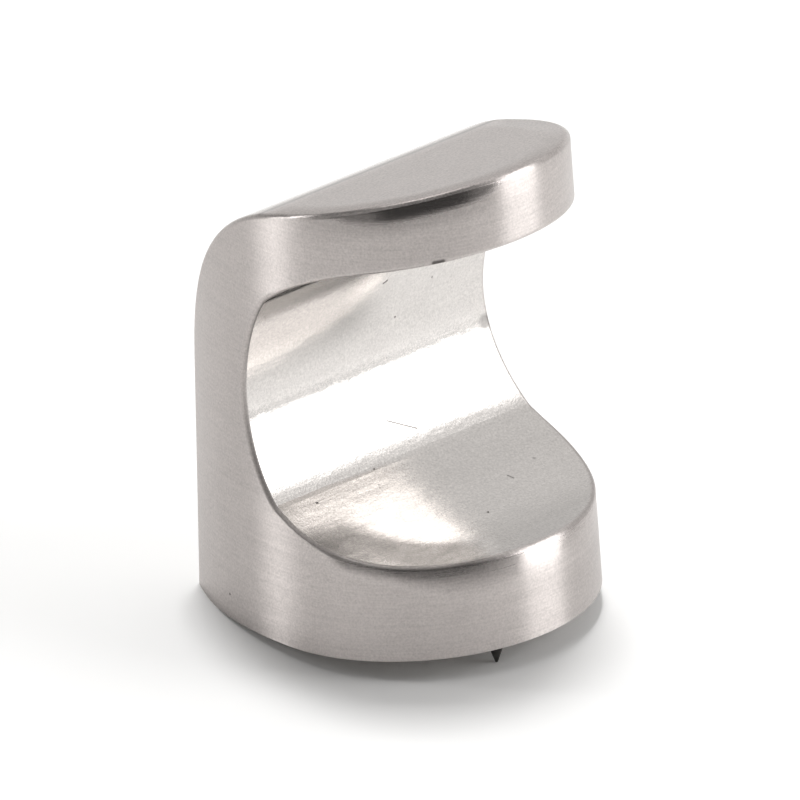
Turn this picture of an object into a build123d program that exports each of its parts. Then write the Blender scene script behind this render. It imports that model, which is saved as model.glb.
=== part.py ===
from build123d import *
import math
import os

os.makedirs("parts", exist_ok=True)

# Outline seen from above, two half ovals that meet at the sides; the wall leans in with the draft of the mould
foot_half_width = 15.0
foot_front = 13.4
foot_back = 21.9
draft = 0.0345

# Flat rear face and the roundings that carry it over into the top and under the foot
rear_flat = 14.84
crown_radius = 16.3
rear_foot_radius = 4.2

# Scoop for the finger, a round hollow seen from the side
scoop_middle = -7.1
scoop_height = 20.7
scoop_radius = 13.0

# Base pad, level in front and dished up towards the scoop; it lies a little above the bottom of the scoop's round
pad_above_round = 0.2
pad_dish_start = -11.0
pad_dish_radius = 26.0

# Lip: its underside starts a little below the top of the scoop's round and is dished down towards the scoop;
# both its faces rise towards the front
lip_below_round = 0.8
lip_thickness = 5.6
lip_under_slope = 0.153
lip_dish_start = -7.0
lip_dish_radius = 22.6
lip_top_slope = 0.229

# Edges
outer_edge = 0.4
mouth_edge = 0.35
crease_edge = 1.5

# Threaded hole for the mounting screw, on the axis of the foot
tap_radius = 1.65
tap_below_pad = 0.4
tap_mouth = 0.35
drill_point_angle = 118.0

# Spur under the foot that keeps the knob from turning
spur_across = -3.15
spur_forward = -11.1
spur_length = 2.0
spur_root_depth = 0.3
spur_root_radius = 0.95
spur_tip_radius = 0.1

# Dependent dimensions
pad_height = scoop_height - scoop_radius + pad_above_round
lip_under_height = scoop_height + scoop_radius - lip_below_round
lip_top_height = lip_under_height + lip_thickness
outline_height = lip_top_height + lip_top_slope * foot_front + 2.0
tap_depth = pad_height - tap_below_pad
head_half_width = foot_half_width - draft * outline_height
head_front = foot_front - draft * outline_height
beyond = foot_front + 5.0
drill_point = tap_radius / math.tan(math.radians(drill_point_angle / 2))

# Centres of the two dishes, which start in line with the faces in front of them
pad_dish_z = pad_height + pad_dish_radius
lip_turn = math.atan(lip_under_slope)
lip_dish_y = lip_dish_start - lip_dish_radius * math.sin(lip_turn)
lip_dish_z = lip_under_height - lip_dish_radius * math.cos(lip_turn)


def lip_under(y):
    return lip_under_height + lip_under_slope * (lip_dish_start - y)


def lip_top(y):
    return lip_top_height + lip_top_slope * (lip_dish_start - y)


def meet_scoop(y, z, radius):
    """Rear point where a circle seen from the side crosses the round of the scoop."""
    over = scoop_middle - y
    rise = scoop_height - z
    apart = math.hypot(over, rise)
    along = (radius**2 - scoop_radius**2 + apart**2) / (2 * apart)
    aside = math.sqrt(radius**2 - along**2)
    side = math.copysign(1, rise)
    return (y + (along * over + side * aside * rise) / apart, z + (along * rise - side * aside * over) / apart)


def bearing(y, z, point):
    return math.degrees(math.atan2(point[1] - z, point[0] - y))


pad_crease = meet_scoop(pad_dish_start, pad_dish_z, pad_dish_radius)
lip_crease = meet_scoop(lip_dish_y, lip_dish_z, lip_dish_radius)
pad_dish_arc = bearing(pad_dish_start, pad_dish_z, pad_crease) + 90
scoop_start = bearing(scoop_middle, scoop_height, pad_crease)
scoop_arc = bearing(scoop_middle, scoop_height, lip_crease) - scoop_start
lip_dish_angle = bearing(lip_dish_y, lip_dish_z, lip_crease)
lip_dish_arc = 90 - math.degrees(lip_turn) - lip_dish_angle


with BuildPart() as knob_body:
    # Oval block with its front leaning back
    with BuildSketch(Plane.XY):
        with BuildLine():
            EllipticalCenterArc((0, 0), foot_half_width, foot_front, start_angle=180, arc_size=180)
            EllipticalCenterArc((0, 0), foot_half_width, foot_back, start_angle=0, arc_size=180)
        make_face()
    with BuildSketch(Plane.XY.offset(outline_height)):
        with BuildLine():
            EllipticalCenterArc((0, 0), head_half_width, head_front, start_angle=180, arc_size=180)
            EllipticalCenterArc((0, 0), head_half_width, foot_back, start_angle=0, arc_size=180)
        make_face()
    loft(ruled=True)

    # Side profile, a C that opens to the front
    with BuildSketch(Plane.YZ.offset(-beyond)) as profile:
        with BuildLine():
            Line((rear_flat, 0), (-beyond, 0))
            Line((-beyond, 0), (-beyond, pad_height))
            Line((-beyond, pad_height), (pad_dish_start, pad_height))
            CenterArc((pad_dish_start, pad_dish_z), pad_dish_radius, -90, pad_dish_arc)
            CenterArc((scoop_middle, scoop_height), scoop_radius, scoop_start, scoop_arc)
            CenterArc((lip_dish_y, lip_dish_z), lip_dish_radius, lip_dish_angle, lip_dish_arc)
            Line((lip_dish_start, lip_under_height), (-beyond, lip_under(-beyond)))
            Line((-beyond, lip_under(-beyond)), (-beyond, lip_top(-beyond)))
            Line((-beyond, lip_top(-beyond)), (rear_flat, lip_top(rear_flat)))
            Line((rear_flat, lip_top(rear_flat)), (rear_flat, 0))
        make_face()
        rear_foot, rear_top = profile.vertices().group_by(Axis.X)[-1].sort_by(Axis.Y)
        fillet(rear_top, crown_radius)
        fillet(rear_foot, rear_foot_radius)
        creases = profile.vertices().filter_by(
            lambda v: math.dist((v.X, v.Y), pad_crease) < 0.01 or math.dist((v.X, v.Y), lip_crease) < 0.01
        )
        fillet(creases, crease_edge)
    extrude(amount=2 * beyond, mode=Mode.INTERSECT)

    # Rounded outer edge: round the foot, up the rear corners, over the crown and round the top of the lip
    uprights = knob_body.edges().filter_by(lambda e: abs(e.center().X) > 5 and e.center().Y > rear_flat - 0.01)
    fillet(uprights, outer_edge)

    # Rounded edge round the mouth, along the pad, up both sides of the scoop and under the lip
    rim = knob_body.edges().filter_by(
        lambda e: e.geom_type != GeomType.LINE
        and abs(e.center().X) < 0.01
        and e.center().Y < pad_dish_start
        and abs(e.center().Z - pad_height) < 0.1
    )
    fillet(rim, mouth_edge)

    # Tapped hole for the mounting screw, with a drill point and a broken mouth edge
    Cylinder(tap_radius, tap_depth, align=(Align.CENTER, Align.CENTER, Align.MIN), mode=Mode.SUBTRACT)
    with Locations((0, 0, tap_depth)):
        Cone(
            tap_radius,
            0,
            drill_point,
            align=(Align.CENTER, Align.CENTER, Align.MIN),
            mode=Mode.SUBTRACT,
        )
    tap_edge = knob_body.edges().filter_by(GeomType.CIRCLE).filter_by(
        lambda e: abs(e.radius - tap_radius) < 0.01 and abs(e.center().Z) < 0.01
    )
    chamfer(tap_edge, tap_mouth)

    # Spur, sunk a little into the foot so that it is cast in one with it
    with Locations((spur_across, spur_forward, spur_root_depth)):
        Cone(
            spur_tip_radius,
            spur_root_radius,
            spur_length + spur_root_depth,
            align=(Align.CENTER, Align.CENTER, Align.MAX),
        )

knob_body.part.label = "knob_body"
export_step(knob_body.part, "parts/knob_body.step")
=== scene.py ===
import math

import bpy
from mathutils import Matrix, Quaternion, Vector

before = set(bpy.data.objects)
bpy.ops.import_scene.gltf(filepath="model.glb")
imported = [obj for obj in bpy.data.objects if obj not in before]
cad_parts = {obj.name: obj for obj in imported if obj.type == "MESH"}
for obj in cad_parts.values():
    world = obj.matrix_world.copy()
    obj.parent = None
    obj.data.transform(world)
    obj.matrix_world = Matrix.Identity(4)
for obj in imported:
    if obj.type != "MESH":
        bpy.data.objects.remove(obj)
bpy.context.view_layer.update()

MM = 0.001

# Viewing angle of the photo, in degrees and millimetres
CAMERA_TURN = -44.077
CAMERA_RISE = 22.152
CAMERA_ROLL = -2.164
CAMERA_DISTANCE = 2000.0
CAMERA_ASIDE = 2.071
CAMERA_ABOVE = -15.502
FOCAL_PIXELS = 24847.468
PICTURE_PIXELS = 800.0
FILM_WIDTH = 36.0

# The knob stands on its spur and on the rounded rear edge of its foot, in millimetres
REST_BACK = 11.02
REST_LEVEL = 0.018
SPUR_FORWARD = -11.1
SPUR_LENGTH = 2.0
TABLE_HALF_WIDTH = 1500.0

# Shape of the knob that the finish follows, in millimetres
HALF_WIDTH = 15.0
FRONT_REACH = 13.4
BACK_REACH = 21.9
MEAN_RADIUS = 13.5
DRAFT = 0.0345
LIP_TOP = 38.5
LIP_SLOPE = 0.229
LIP_MIDDLE = -7.0
CROWN_LINE = 3.6
PAD_DISH_START = -11.0
PAD_DISH_CENTRE = 33.9
PAD_DISH_RADIUS = 26.0

# Worn shoulders: where they start and how far they reach from the edge, in millimetres, and how much they lean
SHOULDER_START = 0.35
LIP_SHOULDER = 2.5
LIP_LEAN = 0.45
RIM_SHOULDER_FRONT = 3.6
RIM_SHOULDER_SIDE = 1.3
RIM_LEAN = 0.37
TOP_ROLL = 2.8
TOP_LEAN = 0.40
PAD_LEAN_OUTSIDE = 0.12
PAD_LEAN_INSIDE = 0.20

# Colours of the plate and of the table
BRIGHT_PLATE = (0.683, 0.655, 0.633, 1.0)
SATIN_PLATE = (0.590, 0.547, 0.528, 1.0)
DARK_PIT = (0.05, 0.045, 0.042, 1.0)
TABLE_GREY = (0.93, 0.93, 0.925, 1.0)
TABLE_WHITE = (0.96, 0.96, 0.955, 1.0)

# Share of the colour taken away: painted shade under the lip and deepest where it meets the scoop, a painted
# dark reflection at the crown, painted shade on the sides, smears on the pad, and the dark spur
UNDER_LIP_SHADE = 0.50
CORNER_SHADE = 0.22
CROWN_REFLECTION_DARK = 0.38
SIDE_SHADE = 0.15
PAD_DULL = 0.10
PAD_SMEARS = 0.6
SPUR_DARK = 0.88

# Roughness of the surfaces, and the depth of the brushing in millimetres
SCOOP_ROUGH = 0.18
WALL_ROUGH = 0.34
TOP_ROUGH = 0.30
SHOULDER_ROUGH = 0.15
MOUTH_ROUGH = 0.55
PIT_ROUGH = 0.7
BRUSHING = 0.95
BRUSH_DEPTH = 0.007

# Height on the knob that the lamps point at, in millimetres
AIM_HEIGHT = 18.0

# Brightness of the studio: the room, then its dark and light patches
ROOM_FRONT = 0.22
ROOM_BACK = 0.79
BACK_BAND = 0.16
DARK_WALL = 0.06
FRONT_FLOOR = 0.95
SIDE_GLOW = 0.80
CEILING = 1.5

# Small pits and stains in the plating: place and radius in millimetres, darkness
MARKS = [
    ((-13.80, 8.34, 2.02), 0.15, 0.85),
    ((1.19, -6.29, 8.33), 0.15, 0.85),
    ((-10.68, 1.10, 10.89), 0.17, 0.75),
    ((-3.43, 1.89, 11.34), 0.13, 0.80),
    ((10.09, -2.70, 9.26), 0.20, 0.35),
    ((7.42, 5.56, 23.66), 0.14, 0.55),
    ((3.42, 5.88, 21.34), 0.15, 0.60),
    ((-7.84, -1.35, 37.21), 0.12, 0.30),
    ((13.23, 5.60, 17.94), 0.95, 0.50),
    ((-4.28, 0.50, 10.59), 0.14, 0.40),
    ((-4.45, 0.22, 10.46), 0.12, 0.35),
]

# Scratches: both ends and half the width in millimetres, darkness
SCRATCHES = [
    ((0.22, 3.95, 13.84), (2.70, 3.10, 12.65), 0.10, 0.56),
    ((-7.60, -10.20, 33.57), (-6.95, -10.55, 33.62), 0.30, 0.72),
    ((6.45, -3.35, 9.06), (6.62, -3.80, 8.92), 0.13, 0.50),
    ((1.60, 5.17, 25.00), (1.98, 5.12, 25.16), 0.12, 0.65),
]


class Nodes:
    """Short way to lay out the nodes of one material or world."""

    def __init__(self, tree):
        self.tree = tree

    def add(self, kind, **settings):
        node = self.tree.nodes.new(kind)
        for key, value in settings.items():
            setattr(node, key, value)
        return node

    def feed(self, socket, value):
        if isinstance(value, bpy.types.NodeSocket):
            self.tree.links.new(value, socket)
        elif value is not None:
            socket.default_value = value

    def math(self, operation, a, b=None, c=None):
        node = self.add("ShaderNodeMath", operation=operation)
        for socket, value in zip(node.inputs, (a, b, c)):
            self.feed(socket, value)
        return node.outputs[0]

    def times(self, first, *others):
        for other in others:
            first = self.math("MULTIPLY", first, other)
        return first

    def plus(self, first, *others):
        for other in others:
            first = self.math("ADD", first, other)
        return first

    def minus(self, a, b):
        return self.math("SUBTRACT", a, b)

    def larger(self, a, b):
        return self.math("MAXIMUM", a, b)

    def size(self, a):
        return self.math("ABSOLUTE", a)

    def square(self, a):
        return self.math("POWER", self.size(a), 2.0)

    def within(self, a):
        """The value, held between nothing and one."""
        return self.math("MINIMUM", self.larger(a, 0.0), 1.0)

    def vector(self, operation, a, b=None):
        node = self.add("ShaderNodeVectorMath", operation=operation)
        self.feed(node.inputs[0], a)
        self.feed(node.inputs[1], b)
        return node.outputs["Value" if operation in ("DOT_PRODUCT", "DISTANCE") else "Vector"]

    def scaled(self, a, factor):
        node = self.add("ShaderNodeVectorMath", operation="SCALE")
        self.feed(node.inputs[0], a)
        self.feed(node.inputs["Scale"], factor)
        return node.outputs["Vector"]

    def from_parts(self, x=0.0, y=0.0, z=0.0):
        node = self.add("ShaderNodeCombineXYZ")
        for socket, value in zip(node.inputs, (x, y, z)):
            self.feed(socket, value)
        return node.outputs[0]

    def grey(self, value):
        node = self.add("ShaderNodeCombineColor")
        for socket in node.inputs[:3]:
            self.feed(socket, value)
        return node.outputs[0]

    def split(self, a):
        node = self.add("ShaderNodeSeparateXYZ")
        self.feed(node.inputs[0], a)
        return node.outputs

    def ramp(self, value, low, high, first, last):
        node = self.add("ShaderNodeMapRange", interpolation_type="SMOOTHSTEP")
        settings = {"Value": value, "From Min": low, "From Max": high, "To Min": first, "To Max": last}
        for name, setting in settings.items():
            self.feed(node.inputs[name], setting)
        return node.outputs["Result"]

    def rise(self, value, low, high):
        return self.ramp(value, low, high, 0.0, 1.0)

    def fall(self, value, low, high):
        return self.ramp(value, low, high, 1.0, 0.0)

    def fade(self, depth, width):
        """One at the edge, nothing at a distance of width and beyond."""
        return self.within(self.minus(1.0, self.math("DIVIDE", depth, width)))

    def noise(self, place, scale, detail, rough):
        node = self.add("ShaderNodeTexNoise")
        self.feed(node.inputs["Vector"], place)
        self.feed(node.inputs["Scale"], scale)
        self.feed(node.inputs["Detail"], detail)
        self.feed(node.inputs["Roughness"], rough)
        return node.outputs["Fac"]

    def mix(self, factor, a, b):
        node = self.add("ShaderNodeMix", data_type="FLOAT")
        self.feed(node.inputs[0], factor)
        self.feed(node.inputs[2], a)
        self.feed(node.inputs[3], b)
        return node.outputs[0]

    def mix_vector(self, factor, a, b):
        node = self.add("ShaderNodeMix", data_type="VECTOR")
        self.feed(node.inputs[0], factor)
        self.feed(node.inputs[4], a)
        self.feed(node.inputs[5], b)
        return node.outputs[1]

    def mix_colour(self, factor, a, b, blend="MIX"):
        node = self.add("ShaderNodeMix", data_type="RGBA", blend_type=blend)
        self.feed(node.inputs[0], factor)
        self.feed(node.inputs[6], a)
        self.feed(node.inputs[7], b)
        return node.outputs[2]


def view_axes():
    """Right, up and ahead of the camera, as unit vectors."""
    turn = math.radians(CAMERA_TURN)
    rise = math.radians(CAMERA_RISE)
    roll = math.radians(CAMERA_ROLL)
    right = Vector((math.cos(turn), math.sin(turn), 0.0))
    ahead = Vector((-math.sin(turn) * math.cos(rise), math.cos(turn) * math.cos(rise), -math.sin(rise)))
    up = right.cross(ahead)
    rolled_right = math.cos(roll) * right + math.sin(roll) * up
    rolled_up = math.cos(roll) * up - math.sin(roll) * right
    return rolled_right, rolled_up, ahead


def set_camera():
    right, up, ahead = view_axes()
    data = bpy.data.cameras.new("camera")
    data.sensor_width = FILM_WIDTH
    data.lens = FOCAL_PIXELS * FILM_WIDTH / PICTURE_PIXELS
    data.clip_start = 0.01
    data.clip_end = 20.0
    camera = bpy.data.objects.new("camera", data)
    bpy.context.collection.objects.link(camera)
    place = (-CAMERA_ASIDE * right - CAMERA_ABOVE * up - CAMERA_DISTANCE * ahead) * MM
    turn = Matrix((right, up, -ahead)).transposed()
    camera.matrix_world = Matrix.Translation(place) @ turn.to_4x4()
    bpy.context.scene.camera = camera


def new_material(name):
    mat = bpy.data.materials.new(name)
    mat.use_nodes = True
    return mat, Nodes(mat.node_tree), mat.node_tree.nodes["Principled BSDF"]


class Surface:
    """A point on the knob: its place in millimetres, and its share in the wall, the top and the pad."""

    def __init__(self, n):
        self.place = n.scaled(n.add("ShaderNodeTexCoord").outputs["Object"], 1.0 / MM)
        self.x, self.y, self.z = n.split(self.place)[:3]
        self.normal = n.add("ShaderNodeNewGeometry").outputs["Normal"]
        self.facing = n.split(self.normal)[2]
        self.upright = n.fall(n.size(self.facing), 0.25, 0.6)

        # Outer wall: where the outline's oval equation comes near one
        self.half_width = n.math("MULTIPLY_ADD", self.z, -DRAFT, HALF_WIDTH)
        self.front = n.math("MULTIPLY_ADD", self.z, -DRAFT, FRONT_REACH)
        self.reach = n.mix(n.math("GREATER_THAN", self.y, 0.0), self.front, BACK_REACH)
        across = n.square(n.math("DIVIDE", self.x, self.half_width))
        along = n.square(n.math("DIVIDE", self.y, self.reach))
        self.oval = n.plus(across, along)
        self.wall = n.rise(self.oval, 0.93, 0.985)
        self.from_edge = n.times(n.minus(1.0, n.math("SQRT", self.oval)), MEAN_RADIUS)

        # Top of the lip
        top_level = n.math("MULTIPLY_ADD", n.minus(LIP_MIDDLE, self.y), LIP_SLOPE, LIP_TOP)
        self.below_top = n.minus(top_level, self.z)
        self.top = n.fall(self.below_top, 0.1, SHOULDER_START)
        self.wall_or_top = n.larger(self.wall, self.top)

        # Pad, the half of it that lies towards -X
        level_low = n.times(n.rise(self.facing, 0.7, 0.85), n.fall(self.z, 12.0, 13.0))
        self.pad_side = n.times(n.fall(self.x, -4.5, -0.5), n.fall(self.y, -3.0, 0.5), level_low)

    def outward(self, n, reach):
        """Level direction that stands square on the oval outline."""
        across = n.math("DIVIDE", self.x, n.square(self.half_width))
        along = n.math("DIVIDE", self.y, n.square(reach))
        return n.vector("NORMALIZE", n.from_parts(across, along))


def worn_shoulders(n, at):
    """How worn the wall is below the edge of the lip and below the rim of the pad."""
    lip_side = n.times(n.fall(at.y, -9.5, 1.5), at.upright, n.ramp(at.x, -5.0, 1.0, 1.0, 0.25))
    lip = n.times(n.fade(n.minus(at.below_top, SHOULDER_START), LIP_SHOULDER), lip_side)

    over = n.square(n.minus(at.y, PAD_DISH_START))
    rim_level = n.minus(PAD_DISH_CENTRE, n.math("SQRT", n.minus(PAD_DISH_RADIUS**2, over)))
    below_rim = n.minus(rim_level, at.z)
    rim_side = n.times(n.fall(at.y, -5.0, -2.0), at.upright, n.math("GREATER_THAN", below_rim, -0.3))
    rim_width = n.ramp(at.y, -12.5, -7.5, RIM_SHOULDER_FRONT, RIM_SHOULDER_SIDE)
    rim = n.times(n.fade(n.minus(below_rim, SHOULDER_START), rim_width), rim_side)
    return lip, rim


def soft_direction(n, at, lip, rim):
    """Direction of the surface with its worn shoulders, its rolled edges and one even wall."""
    outward = at.outward(n, at.reach)
    wall_only = n.times(at.wall, at.upright)

    # The two half ovals of the wall run into each other without a line
    seam = n.times(n.fall(n.size(at.y), 1.2, 2.6), wall_only)
    wall_direction = n.vector("NORMALIZE", n.vector("ADD", outward, (0.0, 0.0, DRAFT)))
    surface = n.mix_vector(seam, at.normal, wall_direction)
    joined_reach = n.mix(n.rise(at.y, -4.0, 4.0), at.front, BACK_REACH)
    joined = n.vector("SUBTRACT", at.outward(n, joined_reach), outward)
    surface = n.vector("ADD", surface, n.scaled(joined, wall_only))

    # The shoulders lean up
    lean = n.plus(n.times(lip, LIP_LEAN), n.times(rim, RIM_LEAN))
    surface = n.vector("ADD", surface, n.from_parts(z=lean))

    # The top rolls off towards its edge, and so does the pad on one side
    top_roll = n.times(n.fade(at.from_edge, TOP_ROLL), at.top, TOP_LEAN)
    top_roll = n.times(top_roll, n.fall(at.y, CROWN_LINE - 3.0, CROWN_LINE))
    pad_lean = n.ramp(at.x, -12.0, -8.0, PAD_LEAN_OUTSIDE, PAD_LEAN_INSIDE)
    pad_roll = n.times(n.fall(at.from_edge, 2.6, 5.8), at.pad_side, pad_lean)
    roll = n.plus(top_roll, pad_roll)
    return n.vector("NORMALIZE", n.vector("ADD", surface, n.scaled(outward, roll)))


def brush_lines(n, at):
    """Brush lines: level round the wall, side to side in the scoop and on the top."""
    wall_lines = n.noise(n.vector("MULTIPLY", at.place, (0.16, 0.16, 5.0)), 1.0, 3.0, 0.65)
    scoop_lines = n.noise(n.vector("MULTIPLY", at.place, (0.10, 3.2, 3.2)), 1.0, 3.0, 0.6)
    return n.mix(at.wall, scoop_lines, wall_lines)


def plating_marks(n, at):
    """Pits, stains and scratches, as the darkness at each point."""
    darkest = 0.0
    for spot, radius, darkness in MARKS:
        mark = n.ramp(n.vector("DISTANCE", at.place, spot), radius * 0.4, radius, darkness, 0.0)
        darkest = n.larger(mark, darkest)
    for start, end, radius, darkness in SCRATCHES:
        run = Vector(end) - Vector(start)
        from_start = n.vector("SUBTRACT", at.place, start)
        along = n.within(n.vector("DOT_PRODUCT", from_start, run / run.length_squared))
        nearest = n.vector("ADD", n.scaled(tuple(run), along), start)
        mark = n.ramp(n.vector("DISTANCE", at.place, nearest), radius * 0.3, radius, darkness, 0.0)
        darkest = n.larger(mark, darkest)
    return darkest


def painted_shade_and_smears(n, at, waves):
    """Share of the colour taken away at each point: painted shade, a painted dark reflection, pad smears and a
    dark spur.
    """
    # Painted shade under the lip, deepest where the lip meets the scoop
    free_of_wall = n.minus(1.0, n.larger(at.wall, n.rise(at.y, 5.9, 6.1)))
    under_lip_shade = n.times(n.rise(at.z, 19.5, 24.0), n.fall(at.x, -3.5, 3.5), free_of_wall)
    under_lip_shade = n.times(under_lip_shade, n.fall(at.facing, 0.2, 0.5))
    corner_shade = n.times(n.rise(at.z, 26.0, 28.5), under_lip_shade)

    # Painted dark reflection of the horizon, along the line where the top turns into the crown
    horizon_reflection = n.fade(n.size(n.minus(at.y, CROWN_LINE)), 0.5)
    horizon_reflection = n.times(horizon_reflection, n.rise(at.z, 32.0, 33.0), n.rise(at.facing, 0.6, 0.8))

    # Painted shade on the sides towards the back and on the far end of the foot
    foot_end_shade = n.times(n.rise(at.x, 1.5, 5.0), n.fall(at.z, 9.0, 12.0))
    side_shade = n.times(n.larger(n.rise(at.y, 1.5, 5.5), foot_end_shade), at.wall)

    # Smears on the pad
    smears = n.math("MULTIPLY_ADD", n.minus(waves, 0.5), PAD_SMEARS, PAD_DULL)

    shade_and_smears = n.plus(n.times(under_lip_shade, UNDER_LIP_SHADE), n.times(horizon_reflection, CROWN_REFLECTION_DARK))
    shade_and_smears = n.plus(shade_and_smears, n.times(corner_shade, CORNER_SHADE), n.times(side_shade, SIDE_SHADE))
    shade_and_smears = n.plus(shade_and_smears, n.times(at.pad_side, smears))

    # The spur is made nearly black
    return n.larger(shade_and_smears, n.ramp(at.z, -0.35, -0.05, SPUR_DARK, 0.0))


def satin_nickel():
    """Nickel plate: brushed round the outside, buffed smoother in the scoop, softened at the edges."""
    mat, n, shader = new_material("satin_nickel")
    at = Surface(n)
    lip, rim = worn_shoulders(n, at)
    buffed = n.larger(n.rise(lip, 0.3, 0.75), n.times(rim, 0.4))
    lines = brush_lines(n, at)
    grain = n.noise(at.place, 5.5, 2.0, 0.6)
    clouds = n.noise(at.place, 0.35, 3.0, 0.55)
    waves = n.noise(n.vector("MULTIPLY", at.place, (0.5, 1.0, 1.0)), 0.9, 2.0, 0.6)
    pits = plating_marks(n, at)

    # Colour
    shade = n.times(lines, n.mix(at.wall, 0.10, 0.38))
    shade = n.plus(shade, n.times(n.minus(grain, 0.5), n.mix(at.top, 0.6, 0.95)))
    shade = n.plus(shade, n.times(clouds, 0.10), n.mix(at.wall, 0.90, 0.75))
    # Painted shade and a painted dark reflection darken the colour here, along with the pad's smears and the
    # spur
    shade = n.times(shade, n.minus(1.0, painted_shade_and_smears(n, at, waves)))
    colour = n.mix_colour(at.wall_or_top, BRIGHT_PLATE, SATIN_PLATE)
    colour = n.mix_colour(1.0, colour, n.grey(shade), "MULTIPLY")
    n.feed(shader.inputs["Base Color"], n.mix_colour(pits, colour, DARK_PIT))
    n.feed(shader.inputs["Metallic"], 1.0)

    # Roughness, with the mouth's edge left as it was cast
    mouth = n.times(n.rise(at.oval, 0.935, 0.955), n.fall(at.oval, 0.985, 0.998))
    mouth = n.times(mouth, n.rise(at.y, -8.0, -3.0), n.fall(at.z, 31.0, 32.0))
    rough = n.mix(at.top, n.mix(at.wall, SCOOP_ROUGH, WALL_ROUGH), TOP_ROUGH)
    rough = n.plus(rough, n.times(n.minus(lines, 0.5), n.mix(at.wall, 0.05, 0.14)))
    rough = n.mix(n.times(buffed, 0.9), rough, SHOULDER_ROUGH)
    rough = n.larger(rough, n.times(pits, PIT_ROUGH))
    n.feed(shader.inputs["Roughness"], n.larger(rough, n.times(mouth, MOUTH_ROUGH)))

    # Long reflections where the wall is brushed
    brushed = n.times(at.wall, n.minus(1.0, n.larger(buffed, mouth)))
    n.feed(shader.inputs["Anisotropic"], n.times(brushed, BRUSHING))
    n.feed(shader.inputs["Anisotropic Rotation"], 0.25)
    tangent = n.add("ShaderNodeTangent", direction_type="RADIAL", axis="Z")
    n.feed(shader.inputs["Tangent"], tangent.outputs[0])

    # Relief of the brushing, of the uneven buffing and of the pits
    height = n.plus(n.times(lines, n.mix(at.wall, 0.25, 1.0)), n.times(grain, 0.6))
    height = n.plus(height, n.times(waves, n.mix(at.wall_or_top, 2.2, 0.8)))
    height = n.minus(height, n.times(n.square(pits), 5.0))
    bump = n.add("ShaderNodeBump")
    n.feed(bump.inputs["Strength"], 1.0)
    n.feed(bump.inputs["Distance"], BRUSH_DEPTH * MM)
    n.feed(bump.inputs["Height"], height)
    n.feed(bump.inputs["Normal"], soft_direction(n, at, lip, rim))
    n.feed(shader.inputs["Normal"], bump.outputs["Normal"])
    return mat


def white_table():
    mat, n, shader = new_material("white_table")
    fleck = n.noise(n.add("ShaderNodeTexCoord").outputs["Object"], 60.0, 3.0, 0.6)
    n.feed(shader.inputs["Base Color"], n.mix_colour(fleck, TABLE_GREY, TABLE_WHITE))
    n.feed(shader.inputs["Roughness"], 0.9)
    n.feed(shader.inputs["Specular IOR Level"], 0.1)
    return mat


def lay_table():
    mesh = bpy.data.meshes.new("table")
    w = TABLE_HALF_WIDTH * MM
    mesh.from_pydata([(-w, -w, 0), (w, -w, 0), (w, w, 0), (-w, w, 0)], [], [(0, 1, 2, 3)])
    table = bpy.data.objects.new("table", mesh)
    bpy.context.collection.objects.link(table)
    table.location = (0, REST_BACK * MM, REST_LEVEL * MM)
    table.rotation_euler = (math.atan2(SPUR_LENGTH + REST_LEVEL, REST_BACK - SPUR_FORWARD), 0, 0)
    mesh.materials.append(white_table())


def around(turn, rise):
    """Direction that lies turn degrees to the right of the camera and rise degrees above the foot's plane."""
    azimuth = math.radians(CAMERA_TURN - 90.0 + turn)
    level = math.cos(math.radians(rise))
    return Vector((level * math.cos(azimuth), level * math.sin(azimuth), math.sin(math.radians(rise))))


def soft_box(name, turn, rise, distance, width, height, power, roll=0.0):
    """Square lamp that points at the knob; angles in degrees, sizes in metres, power in watts."""
    data = bpy.data.lights.new(name, "AREA")
    data.shape = "RECTANGLE"
    data.size = width
    data.size_y = height
    data.energy = power
    lamp = bpy.data.objects.new(name, data)
    bpy.context.collection.objects.link(lamp)
    aim = Vector((0.0, 0.0, AIM_HEIGHT)) * MM
    lamp.location = aim + around(turn, rise) * distance
    lean = Quaternion((0.0, 0.0, 1.0), math.radians(roll))
    lamp.rotation_euler = ((lamp.location - aim).to_track_quat("Z", "Y") @ lean).to_euler()
    return lamp


def studio_world():
    """Grey room, light behind the knob and dim in front, with one dark wall for the metal to mirror."""
    world = bpy.data.worlds.new("studio")
    bpy.context.scene.world = world
    world.use_nodes = True
    n = Nodes(world.node_tree)
    way = n.add("ShaderNodeTexCoord").outputs["Generated"]
    height = n.split(way)[2]

    def towards(turn, rise=0):
        return n.vector("DOT_PRODUCT", way, around(turn, rise))

    back = n.rise(towards(168), 0.12, 0.78)
    band = n.times(n.rise(height, 0.18, 0.32), n.fall(height, 0.45, 0.62))
    level = n.minus(n.mix(back, ROOM_FRONT, ROOM_BACK), n.times(band, back, BACK_BAND))

    dark_wall = n.times(n.fall(n.size(towards(112)), 0.42, 0.60), n.rise(towards(22), 0.1, 0.3))
    level = n.mix(n.times(dark_wall, n.rise(height, 0.02, 0.14)), level, DARK_WALL)
    front_floor = n.times(n.fall(height, 0.02, 0.14), n.rise(towards(0), 0.1, 0.7))
    level = n.mix(front_floor, level, FRONT_FLOOR)
    level = n.mix(n.rise(towards(108, 44), 0.82, 0.97), level, SIDE_GLOW)
    overhead = n.rise(height, math.sin(math.radians(66)), math.sin(math.radians(80)))
    level = n.mix(overhead, level, CEILING)

    ground = world.node_tree.nodes["Background"]
    n.feed(ground.inputs["Color"], (1.0, 0.99, 0.98, 1.0))
    n.feed(ground.inputs["Strength"], level)


set_camera()
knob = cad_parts["knob_body"]
knob.data.materials.clear()
knob.data.materials.append(satin_nickel())
lay_table()
studio_world()
soft_box("right_box", turn=89, rise=17, distance=0.5, width=0.24, height=0.35, power=0.84, roll=-10)
soft_box("left_strip", turn=-94.5, rise=18, distance=0.5, width=0.035, height=0.36, power=0.37)
top_box = soft_box("top_box", turn=180, rise=79, distance=0.9, width=0.16, height=0.16, power=4.7)
top_box.visible_glossy = False

bpy.context.scene.view_settings.view_transform = "Standard"
